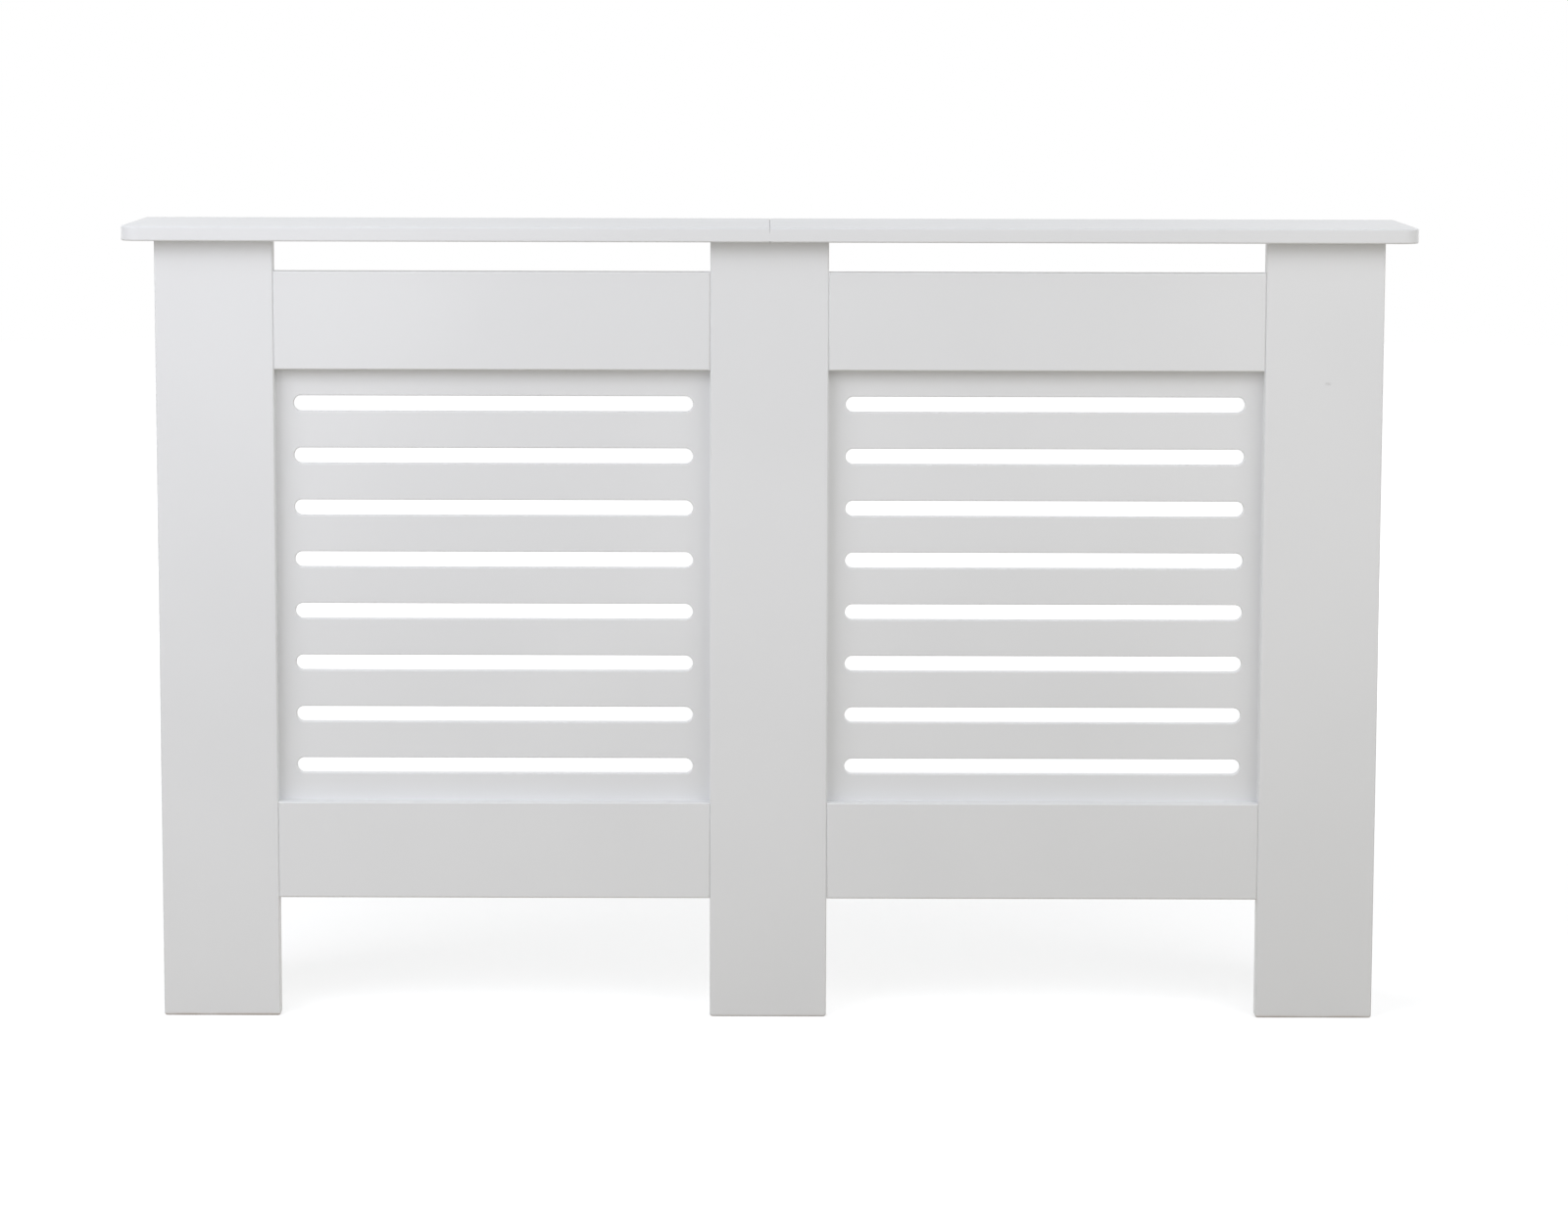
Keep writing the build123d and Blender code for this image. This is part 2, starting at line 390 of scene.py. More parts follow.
@dataclass(frozen=True)
class RawBoard:
    """Cut fibreboard without paint, inside bores and slots."""

    name: str = "raw_fibreboard"
    colour: Colour = (0.42, 0.3, 0.19)
    fleck: Colour = (0.29, 0.2, 0.12)

    def material(self) -> Material:
        """The board as a material: short flecks of fibre and a felt-like face.

        Returns:
            The material.
        """
        tree = ShaderTree(self.name)
        flecks = tree.span(tree.noise(0.6 * MM, detail=4.0, stretch=(3, 1, 3)), 0.4, 0.65, 0.0, 1.0)
        felt = tree.bump(tree.noise(0.4 * MM, detail=4.0), 0.08 * MM)
        return tree.finish(Base_Color=tree.blend(flecks, self.colour, self.fleck), Roughness=0.9, Normal=felt)


@dataclass(frozen=True)
class ZincPlate:
    """Steel with a bright zinc plate."""

    name: str = "zinc_plated_steel"
    colour: Colour = (0.66, 0.67, 0.68)
    haze: Colour = (0.55, 0.56, 0.57)
    roughness: float = 0.3

    def material(self) -> Material:
        """The plate as a material: cloudy spangle, fine drawing lines and uneven gloss.

        Returns:
            The material.
        """
        tree = ShaderTree(self.name)
        clouds = tree.patches(4 * MM, detail=4.0)
        colour = tree.blend(clouds, self.colour, self.haze)
        gloss = tree.span(clouds, 0.0, 1.0, self.roughness - 0.06, self.roughness + 0.1)
        lines = tree.bump(tree.noise(0.15 * MM, detail=2.0, stretch=(30, 1, 1)), 0.006 * MM)
        return tree.finish(Base_Color=colour, Metallic=1.0, Roughness=gloss, Normal=lines)


@dataclass(frozen=True)
class CastZinc:
    """Die-cast zinc, dull and slightly grained."""

    name: str = "die_cast_zinc"
    colour: Colour = (0.5, 0.5, 0.51)
    dark: Colour = (0.38, 0.38, 0.4)

    def material(self) -> Material:
        """The casting as a material: mottled tone and a sandy face.

        Returns:
            The material.
        """
        tree = ShaderTree(self.name)
        colour = tree.blend(tree.patches(2.5 * MM, detail=5.0), self.colour, self.dark)
        grain = tree.bump(tree.noise(0.35 * MM), 0.03 * MM)
        return tree.finish(Base_Color=colour, Metallic=1.0, Roughness=0.5, Normal=grain)


@dataclass(frozen=True)
class Beech:
    """Bare beech with its short dark flecks."""

    name: str = "bare_beech"
    along: Point = (0, 0, 1)
    stretch: float = 12.0
    colour: Colour = (0.55, 0.36, 0.2)
    fleck: Colour = (0.38, 0.21, 0.1)

    def material(self) -> Material:
        """The wood as a material: long grain and short flecks along the piece.

        Returns:
            The material.
        """
        tree = ShaderTree(self.name)
        long_grain = tuple(1 + (self.stretch - 1) * share for share in self.along)
        grain = tree.span(tree.noise(1.2 * MM, detail=4.0, stretch=long_grain), 0.35, 0.7, 0.0, 0.5)
        flecks = tree.span(tree.noise(0.6 * MM, detail=2.0, stretch=long_grain), 0.62, 0.72, 0.0, 0.8)
        share = tree.math("MAXIMUM", grain, flecks)
        pores = tree.bump(tree.noise(0.3 * MM, stretch=long_grain), 0.04 * MM)
        return tree.finish(Base_Color=tree.blend(share, self.colour, self.fleck), Roughness=0.6, Normal=pores)


# ---- Meshes and pieces ----


def welded(node: str) -> Mesh:
    """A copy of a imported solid's mesh, with its loose triangles joined and one face for each flat.

    Args:
        node: The solid.

    Returns:
        The new mesh.
    """

    def join(bm: BMesh) -> None:
        """Joins the points and then the triangles of each flat."""
        bmesh.ops.remove_doubles(bm, verts=bm.verts, dist=WELD)
        bmesh.ops.dissolve_limit(bm, angle_limit=math.radians(FLAT), verts=bm.verts, edges=bm.edges)

    return edit(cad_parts[node].data.copy(), join)


def solids(node: str) -> list[tuple[Vector, Vector]]:
    """The box of each separate solid in a node.

    Args:
        node: The node, which holds one solid or several alike.

    Returns:
        Lowest and highest corner of each.
    """
    bm = bmesh.new()
    bm.from_mesh(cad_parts[node].data)
    bmesh.ops.remove_doubles(bm, verts=bm.verts, dist=WELD)
    left = set(bm.verts)
    boxes = []
    while left:
        front = [left.pop()]
        places = []
        while front:
            vert = front.pop()
            places.append(vert.co.copy())
            for edge in vert.link_edges:
                other = edge.other_vert(vert)
                if other in left:
                    left.remove(other)
                    front.append(other)
        low = Vector([min(place[k] for place in places) for k in range(3)])
        high = Vector([max(place[k] for place in places) for k in range(3)])
        boxes.append((low, high))
    bm.free()
    return boxes


def edit(mesh: Mesh, change: Callable[[BMesh], None]) -> Mesh:
    """Changes a mesh through bmesh.

    Args:
        mesh: The mesh, which is changed in place.
        change: What is done to it.

    Returns:
        The same mesh.
    """
    bm = bmesh.new()
    bm.from_mesh(mesh)
    change(bm)
    bm.to_mesh(mesh)
    bm.free()
    return mesh


def dress(mesh: Mesh, *finishes: Material) -> None:
    """Gives a mesh these finishes in place of its own.

    Args:
        mesh: The mesh.
        *finishes: Its finishes, in the order of its slots.
    """
    mesh.materials.clear()
    for finish in finishes:
        mesh.materials.append(finish)


def edges_turning(bm: BMesh, low: float, high: float = 360.0) -> list[BMEdge]:
    """The edges where two faces turn from each other by an angle between these, in degrees."""
    shared = [edge for edge in bm.edges if len(edge.link_faces) == 2]
    return [edge for edge in shared if low < math.degrees(edge.calc_face_angle(0.0)) < high]


def bevel(bm: BMesh, edges: list[BMEdge], width: float, steps: int) -> None:
    """Rounds edges with this many faces, starting at this width from each edge."""
    round_over = {"offset": width, "segments": steps, "profile": 0.5, "clamp_overlap": True}
    bmesh.ops.bevel(bm, geom=edges, affect="EDGES", **round_over)


def drop_slivers(bm: BMesh) -> None:
    """Takes out the hair-thin faces that rounding can leave where edges meet.

    Args:
        bm: The mesh.
    """
    bmesh.ops.remove_doubles(bm, verts=bm.verts, dist=SLIVER)
    bmesh.ops.dissolve_degenerate(bm, edges=bm.edges, dist=SLIVER)
    longest = {face: max(face.edges, key=lambda edge: edge.calc_length()) for face in bm.faces}
    thin = [edge for face, edge in longest.items() if face.calc_area() < SLIVER * edge.calc_length()]
    bmesh.ops.dissolve_edges(bm, edges=list(dict.fromkeys(thin)), use_verts=False)


@dataclass(frozen=True)
class Ring:
    """One ring of a turned piece; a waist under one pulls it in between four arms."""

    radius: float
    height: float
    waist: float = 1.0


def turned(name: str, rings: Sequence[Ring], sides: int) -> Mesh:
    """A closed turned piece round Z.

    Args:
        name: The mesh's name.
        rings: Its rings from one end to the other; each end is closed to a point on the axis.
        sides: Faces round it, a multiple of eight.

    Returns:
        The mesh.
    """
    verts: list[Point] = [(0.0, 0.0, rings[0].height)]
    faces: list[tuple[int, ...]] = []
    for ring in rings:
        for k in range(sides):
            angle = 2 * math.pi * k / sides
            on_arm = k % (sides // 4) in (0, 1, sides // 4 - 1)
            reach = ring.radius * (1.0 if on_arm else ring.waist)
            verts.append((reach * math.cos(angle), reach * math.sin(angle), ring.height))
    verts.append((0.0, 0.0, rings[-1].height))
    first_of_last = len(verts) - 1 - sides
    for k in range(sides):
        beside = (k + 1) % sides
        faces.append((0, 1 + beside, 1 + k))
        for low in range(1, first_of_last, sides):
            faces.append((low + k, low + beside, low + sides + beside, low + sides + k))
        faces.append((first_of_last + k, first_of_last + beside, len(verts) - 1))
    mesh = bpy.data.meshes.new(name)
    mesh.from_pydata(verts, [], faces)
    return edit(mesh, lambda bm: bmesh.ops.recalc_face_normals(bm, faces=bm.faces))


@dataclass(frozen=True)
class Ridges:
    """Ridges round a turned piece: one with a pitch is a thread, many without one are flutes."""

    start: float
    end: float
    depth: float
    around: int = 1
    pitch: float = 0.0

    def rings(self, radius: float, each: float) -> list[Ring]:
        """Rings of this radius over the ridges, about this far from each other."""
        count = max(2, round((self.end - self.start) / each))
        return [Ring(radius, self.start + (self.end - self.start) * k / count) for k in range(count + 1)]


class RidgedRow:
    """Turned pieces in a row, with ridges cut into each and all turned to one direction."""

    def __init__(self) -> None:
        """Builds the tree."""
        vectors = dict.fromkeys(("Start", "Step", "Turn"), "Vector")
        sizes = dict.fromkeys(("From", "To", "Depth", "Around", "Per Length"), "Float")
        tree = GeometryTree("ridged_row", {"Count": "Int", **vectors, **sizes})
        given = tree.given
        at = tree.add("GeometryNodeInputPosition")
        place = tree.add("ShaderNodeSeparateXYZ", {"Vector": at}).outputs
        turns = tree.math("DIVIDE", tree.math("ARCTAN2", place["Y"], place["X"]), 2 * math.pi)
        along = tree.math("MULTIPLY", place["Z"], given["Per Length"])
        around = tree.math("MULTIPLY", turns, given["Around"])
        phase = tree.math("FRACT", tree.math("SUBTRACT", along, around))
        crest = tree.math("MULTIPLY", tree.math("ABSOLUTE", tree.math("SUBTRACT", phase, 0.5)), 2.0)
        above = tree.math("GREATER_THAN", place["Z"], given["From"])
        below = tree.math("LESS_THAN", place["Z"], given["To"])
        cut = tree.math("MULTIPLY", tree.math("MULTIPLY", above, below), tree.math("SUBTRACT", 1.0, crest))
        outward = tree.vector(X=place["X"], Y=place["Y"])
        unit = tree.add("ShaderNodeVectorMath", {0: outward}, operation="NORMALIZE")
        sunk = tree.math("MULTIPLY", tree.math("MULTIPLY", cut, given["Depth"]), -1.0)
        offset = tree.add("ShaderNodeVectorMath", {0: unit, "Scale": sunk}, operation="SCALE")
        ridged = tree.add("GeometryNodeSetPosition", {"Geometry": given["Geometry"], "Offset": offset})
        row = tree.line(given["Count"], given["Start"], given["Step"])
        tree.close(tree.repeat(row, ridged, given["Turn"]))
        self.tree = tree

    def make(self, node: str, blank: Mesh, ridges: Ridges, turn: Point, finish: Material) -> Mesh:
        """The pieces of one node, each at its own solid.

        Args:
            node: The node, whose solids lie in one row.
            blank: The turned piece, which stands on the origin.
            ridges: What is cut into it.
            turn: Rotation of the blank's axis.
            finish: Its material.

        Returns:
            The mesh.
        """
        axis = Euler(turn).to_matrix() @ Vector((0.0, 0.0, 1.0))
        feet = []
        for low, high in sorted(solids(node), key=lambda box: tuple(box[0])):
            middle = (low + high) / 2
            length = abs((high - low).dot(axis))
            feet.append(middle - axis * length / 2)
        step = feet[1] - feet[0] if len(feet) > 1 else Vector((0.0, 0.0, 0.0))
        return self.tree.run(
            blank,
            finish,
            Count=len(feet),
            Start=tuple(feet[0]),
            Step=tuple(step),
            Turn=turn,
            From=ridges.start,
            To=ridges.end,
            Depth=ridges.depth,
            Around=float(ridges.around),
            Per_Length=1 / ridges.pitch if ridges.pitch else 0.0,
        )


@dataclass
class Piece:
    """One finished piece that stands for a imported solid."""

    node: str
    slot: Slot
    mesh: Mesh
    smooth_below: float = 40.0

    def shade(self, bm: BMesh) -> None:
        """Smooths the mesh, except over edges that turn more than the limit.

        Args:
            bm: The mesh.
        """
        limit = math.radians(self.smooth_below)
        for face in bm.faces:
            face.smooth = True
        for edge in bm.edges:
            edge.smooth = len(edge.link_faces) == 2 and edge.calc_face_angle(0.0) < limit

    def show(self) -> None:
        """Puts the piece in the scene in place of its solid, with normals that keep flats flat."""
        self.mesh.name = f"{self.node}_dressed"
        edit(self.mesh, self.shade)
        shown = bpy.data.objects.new(f"{self.node}_dressed", self.mesh)
        bpy.context.scene.collection.objects.link(shown)
        weighted = shown.modifiers.new("flat faces stay flat", "WEIGHTED_NORMAL")
        weighted.keep_sharp = True
        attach(shown, ROOT)
        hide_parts(self.node)
        log.info("%s: %d faces", shown.name, len(self.mesh.polygons))


@dataclass
class Board:
    """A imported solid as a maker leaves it: edges rounded over, paint outside, raw board in its bores."""

    node: str
    fittings: tuple[str, ...] = ()
    round_over: float = 0.5 * MM
    back_edge: float = 0.7 * MM
    clearance: float = 1.5 * MM
    skin: float = 1.0 * MM

    def __post_init__(self) -> None:
        """Finds the boxes of the fittings once."""
        self.bores = [box for fitting in self.fittings for box in solids(fitting)]

    def in_fitting(self, place: Vector) -> bool:
        """Whether a place lies in or beside one of the fittings in the board.

        Args:
            place: The place.

        Returns:
            Whether it does.
        """
        near = self.clearance
        return any(
            all(low[k] - near < place[k] < high[k] + near for k in range(3)) for low, high in self.bores
        )

    def kept_square(self, place: Vector) -> bool:
        """Whether the edges at a place aren't rounded."""
        return self.in_fitting(place)

    def round_edges(self, bm: BMesh) -> None:
        """Rounds the eased rims and breaks the square edges that carry no fitting.

        Args:
            bm: The mesh.
        """
        roundings = (EASED, self.round_over, FINE_STEPS), (SQUARE, self.back_edge, STEPS)
        for turn, width, steps in roundings:
            edges = edges_turning(bm, *turn)
            free = [e for e in edges if not self.kept_square((e.verts[0].co + e.verts[1].co) / 2)]
            bevel(bm, free, width, steps)

    def paint(self, mesh: Mesh, *finishes: Material) -> Mesh:
        """Paints the outside and leaves the bores raw.

        Args:
            mesh: The board's mesh.
            *finishes: The paint and the bare board.

        Returns:
            The same mesh.
        """
        dress(mesh, *finishes)
        low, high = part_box(self.node)
        for polygon in mesh.polygons:
            place = polygon.center
            depth = min(min(place[k] - low[k], high[k] - place[k]) for k in range(3))
            polygon.material_index = int(depth > self.skin and self.in_fitting(place))
        return mesh

    def show(self, coat: Material, raw: Material) -> None:
        """Makes the board, with this paint outside, and puts it in the scene."""
        mesh = edit(edit(welded(self.node), self.round_edges), drop_slivers)
        Piece(self.node, Slot.BOARD, self.paint(mesh, coat, raw)).show()


@dataclass
class ShelfHalf(Board):
    """Half of the shelf. The rim of its joint falls away a little, so that the seam shows as a fine line."""

    gap: float = 0.2 * MM
    gap_depth: float = 0.6 * MM
    seam_edge: float = 0.1 * MM

    def kept_square(self, place: Vector) -> bool:
        """Leaves the joint's edges for their own, finer rounding."""
        return abs(place.x) < self.gap + WELD or super().kept_square(place)

    def round_edges(self, bm: BMesh) -> None:
        """Draws the joint's rim back, then rounds all edges.

        Args:
            bm: The mesh.
        """
        joint = [face for face in bm.faces if max(abs(vert.co.x) for vert in face.verts) < WELD]
        bmesh.ops.inset_region(bm, faces=joint, thickness=self.gap_depth, use_even_offset=True)
        bm.normal_update()
        # points of the rim also belong to faces that don't lie in the joint
        rim = [v for v in bm.verts if abs(v.co.x) < WELD and any(abs(f.normal.x) < 0.5 for f in v.link_faces)]
        inward = math.copysign(self.gap, sum(vert.co.x for vert in bm.verts))
        for vert in rim:
            vert.co.x += inward
        super().round_edges(bm)
        seam = [e for e in bm.edges if all(abs(abs(v.co.x) - self.gap) < WELD for v in e.verts)]
        bevel(bm, seam, self.seam_edge, FINE_STEPS)


# ---- Sub-assemblies ----


@dataclass
class Finishes:
    """Every finish of the cabinet, made once."""

    paint: Material = field(default_factory=SatinPaint().material)
    raw: Material = field(default_factory=RawBoard().material)
    steel: Material = field(default_factory=ZincPlate().material)
    cast: Material = field(default_factory=CastZinc().material)
    beech: Material = field(default_factory=Beech().material)
    pressed_beech: Material = field(default_factory=Beech("pressed_beech", along=(1, 0, 1)).material)


@dataclass
class FaceFrame:
    """The front: three posts and four rails, edge to edge."""

    finishes: Finishes
    scuff: Scuff = Scuff(place=(0.567, -0.075, 0.657))
    foot_tint: dict[str, float] = field(default_factory=lambda: {"left": 0.5, "centre": 0.15, "right": 0.35})

    def build(self) -> None:
        """Makes the posts and the rails."""
        biscuits = tuple(hand.node("frame_biscuits") for hand in Hand)
        dowels = tuple(hand.node("shelf_dowels") for hand in Hand)
        for place, tint in self.foot_tint.items():
            bolts = () if place == "centre" else (f"side_cam_bolts_{place}",)
            board = Board(f"post_{place}", biscuits + dowels + bolts)
            scuffs = (self.scuff,) if place == "right" else ()
            coat = SatinPaint(f"satin_white_paint_{place}", scuffs=scuffs, foot=DarkFootBand(tint))
            board.show(coat.material(), self.finishes.raw)
        for hand in Hand:
            for level in ("top", "bottom"):
                Board(hand.node(f"{level}_rail"), biscuits).show(self.finishes.paint, self.finishes.raw)


@dataclass
class Grilles:
    """The two slotted panels behind the frame, each a ladder of like cells with a slot in the middle."""

    finishes: Finishes
    slot_height: float = 16 * MM
    slot_length: float = 407 * MM
    pitch: float = 53.4 * MM
    count: int = 8
    rim: float = 1.2 * MM
    rim_steps: int = 4
    sides: int = 44
    edge: float = 0.7 * MM

    def profile(self, thickness: float) -> list[tuple[float, float]]:
        """The slot's wall from the front face to the back face.

        Args:
            thickness: Thickness of the panel.

        Returns:
            Distance outside the slot and depth, for each loop.
        """
        quarter = [math.pi / 2 * k / self.rim_steps for k in range(self.rim_steps + 1)]
        front = [(self.rim * (1 - math.sin(a)), self.rim * (1 - math.cos(a))) for a in quarter]
        return front + [(out, thickness - depth) for out, depth in reversed(front)]

    def loop(self, width: float, out: float) -> list[tuple[float, float]]:
        """One loop round a slot, or round its cell where it lies further out than the pitch.

        Args:
            width: Width of the panel.
            out: Distance outside the slot, or infinity for the cell's border.

        Returns:
            Its points across and up.
        """
        half = (self.slot_length - self.slot_height) / 2
        points = []
        for k in range(self.sides):
            angle = 2 * math.pi * (k + 0.5) / self.sides
            across, up = math.cos(angle), math.sin(angle)
            if math.isinf(out):
                longest = max(abs(across), abs(up))
                reach = (width / 2 - half, self.pitch / 2)
                across, up = across / longest, up / longest
            else:
                reach = (self.slot_height / 2 + out,) * 2
            points.append((math.copysign(half, across) + reach[0] * across, reach[1] * up))
        return points

    def cell(self, width: float, thickness: float) -> Mesh:
        """One slot with its rounded rims and the flat board round it, as wide as the panel.

        Args:
            width: Width of the panel.
            thickness: Thickness of the panel.

        Returns:
            A mesh that is open above, below and at both ends.
        """
        border = [(math.inf, 0.0), *self.profile(thickness), (math.inf, thickness)]
        loops = [[(x, depth, z) for x, z in self.loop(width, out)] for out, depth in border]
        verts = [point for loop in loops for point in loop]
        faces = []
        for row in range(len(loops) - 1):
            for k in range(self.sides):
                nxt = (k + 1) % self.sides
                a, b = row * self.sides, (row + 1) * self.sides
                faces.append((a + k, a + nxt, b + nxt, b + k))
        mesh = bpy.data.meshes.new("grille_cell")
        mesh.from_pydata(verts, [], faces)
        return mesh

    def tree(self) -> GeometryTree:
        """The tree that stacks the cells, draws out the end ones and closes the panel's edge.

        Returns:
            The tree.
        """
        tree = GeometryTree(
            "slotted_panel",
            {"Count": "Int", "Pitch": "Float", "Height": "Float", "Thickness": "Float", "Place": "Vector"},
        )
        given = tree.given
        span = tree.math("MULTIPLY", given["Pitch"], tree.math("SUBTRACT", given["Count"], 1.0))
        start = tree.vector(Z=tree.math("MULTIPLY", span, -0.5))
        row = tree.line(given["Count"], start, tree.vector(Z=given["Pitch"]))
        stack = tree.add("GeometryNodeRealizeInstances", {"Geometry": tree.repeat(row, given["Geometry"])})
        ladder = tree.add("GeometryNodeMergeByDistance", {"Geometry": stack, "Distance": WELD})

        at = tree.add("ShaderNodeSeparateXYZ", {"Vector": tree.add("GeometryNodeInputPosition")}).outputs
        stacked = tree.math("MULTIPLY", tree.math("MULTIPLY", given["Count"], given["Pitch"]), 0.5)
        border = tree.math("SUBTRACT", stacked, NEAR)
        at_end = tree.math("GREATER_THAN", tree.math("ABSOLUTE", at["Z"]), border)
        beyond = tree.math("SUBTRACT", tree.math("MULTIPLY", given["Height"], 0.5), stacked)
        shift = tree.vector(Z=tree.math("MULTIPLY", tree.math("SIGN", at["Z"]), beyond))
        ends = {"Geometry": ladder, "Selection": at_end, "Offset": shift}
        drawn = tree.add("GeometryNodeSetPosition", ends)

        neighbours = tree.add("GeometryNodeInputMeshEdgeNeighbors")
        alone = tree.math("LESS_THAN", neighbours, 1.5)  # an open edge has one face
        in_front = tree.math("LESS_THAN", at["Y"], NEAR)
        rim = tree.math("MULTIPLY", alone, in_front)
        through = tree.vector(Y=given["Thickness"])
        inputs = {"Mesh": drawn, "Selection": rim, "Offset": through, "Offset Scale": 1.0}
        walled = tree.add("GeometryNodeExtrudeMesh", inputs, mode="EDGES")
        placed = tree.add("GeometryNodeTransform", {"Geometry": walled, "Translation": given["Place"]})
        tree.close(placed)
        return tree

    def break_edges(self, bm: BMesh) -> None:
        """Turns the faces outwards and breaks the panel's outer edges."""
        bmesh.ops.recalc_face_normals(bm, faces=bm.faces)
        bevel(bm, edges_turning(bm, *SQUARE), self.edge, STEPS)

    def build(self) -> None:
        """Makes both panels."""
        tree = self.tree()
        for hand in Hand:
            node = hand.node("grille")
            low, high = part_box(node)
            size = high - low
            mesh = tree.run(
                self.cell(size.x, size.y),
                self.finishes.paint,
                Count=self.count,
                Pitch=self.pitch,
                Height=size.z,
                Thickness=size.y,
                Place=((low.x + high.x) / 2, low.y, (low.z + high.z) / 2),
            )
            Piece(node, Slot.BOARD, edit(mesh, self.break_edges)).show()


@dataclass
class Carcass:
    """The side panels and the two halves of the shelf."""

    finishes: Finishes

    def build(self) -> None:
        """Makes the four boards."""
        for hand in Hand:
            cams = (hand.node("side_cams"), hand.node("side_cam_bolts"))
            screws = (hand.node("shelf_dowels"), hand.node("bracket_screw"), "seam_plate_screws")
            for board in (Board(hand.node("side_panel"), cams), ShelfHalf(hand.node("shelf"), screws)):
                board.show(self.finishes.paint, self.finishes.raw)


@dataclass(frozen=True)
class PanScrew:
    """A pan-head screw with a cross recess, standing head down."""

    head_radius: float = 3.5 * MM
    head_height: float = 2.0 * MM
    shank_radius: float = 1.75 * MM
    length: float = 16.0 * MM
    tip: float = 2.2 * MM
    thread: Ridges = Ridges(start=2.6 * MM, end=14.0 * MM, depth=0.45 * MM, pitch=1.3 * MM)

    def blank(self) -> Mesh:
        """The turned screw, with its thread still to be cut.

        Returns:
            The mesh.
        """
        head, tall, shank = self.head_radius, self.head_height, self.shank_radius
        rings = [  # the cross recess, the dome and the rim
            Ring(0.18 * head, 0.62 * tall),
            Ring(0.3 * head, 0.5 * tall, waist=0.4),
            Ring(0.5 * head, 0.03 * tall, waist=0.34),
            Ring(0.55 * head, 0.015 * tall, waist=0.5),
            Ring(0.62 * head, 0.0),
            Ring(0.8 * head, 0.1 * tall),
            Ring(0.94 * head, 0.32 * tall),
            Ring(head, 0.62 * tall),
            Ring(head, 0.94 * tall),
            Ring(0.97 * head, tall),
            Ring(shank, tall),
        ]
        rings += self.thread.rings(shank, self.thread.pitch / PER_TURN)
        rings += [Ring(0.7 * shank, self.length - self.tip / 2), Ring(0.08 * shank, self.length)]
        return turned("pan_screw", rings, sides=32)


@dataclass(frozen=True)
class CamBolt:
    """A bolt that screws into the post up to its collar and ends in a head for the cam."""

    radius: float = 2.5 * MM
    head_radius: float = 3.5 * MM
    head_length: float = 2.5 * MM
    length: float = 32.6 * MM
    grip: float = 11.0 * MM
    collar: float = 1.6 * MM
    thread: Ridges = Ridges(start=1.0 * MM, end=10.4 * MM, depth=0.6 * MM, pitch=1.75 * MM)

    def blank(self) -> Mesh:
        """The turned bolt, with its thread still to be cut.

        Returns:
            The mesh.
        """
        radius, grip, collar = self.radius, self.grip, self.collar
        head, start = self.head_radius, self.length - self.head_length
        rings = [Ring(0.6 * radius, 0.0), *self.thread.rings(radius, self.thread.pitch / PER_TURN)]
        rings += [  # the collar, the shaft, the neck, the head and its cross recess
            Ring(0.95 * radius, grip),
            Ring(0.93 * head, grip),
            Ring(head, grip + 0.2 * collar),
            Ring(head, grip + 0.8 * collar),
            Ring(0.93 * head, grip + collar),
            Ring(0.95 * radius, grip + collar),
            Ring(0.95 * radius, start - collar),
            Ring(0.7 * radius, start - 0.4 * collar),
            Ring(0.7 * radius, start),
            Ring(0.9 * head, start),
            Ring(head, start + 0.2 * self.head_length),
            Ring(head, start + 0.7 * self.head_length),
            Ring(0.8 * head, self.length),
            Ring(0.6 * head, self.length, waist=0.4),
            Ring(0.4 * head, start + 0.3 * self.head_length, waist=0.4),
        ]
        return turned("cam_bolt", rings, sides=32)


@dataclass(frozen=True)
class Dowel:
    """A fluted beech dowel with chamfered ends."""

    radius: float = 3.9 * MM
    length: float = 30.0 * MM
    chamfer: float = 1.2 * MM
    flutes: Ridges = Ridges(start=1.25 * MM, end=28.75 * MM, depth=0.35 * MM, around=20)

    def blank(self) -> Mesh:
        """The turned dowel, with its flutes still to be cut.

        Returns:
            The mesh.
        """
        narrow = self.radius - self.chamfer
        foot = [Ring(narrow, 0.0), Ring(self.radius, self.chamfer)]
        shaft = self.flutes.rings(self.radius, self.length / 4)
        top = [Ring(self.radius, self.length - self.chamfer), Ring(narrow, self.length)]
        return turned("fluted_dowel", foot + shaft + top, sides=80)


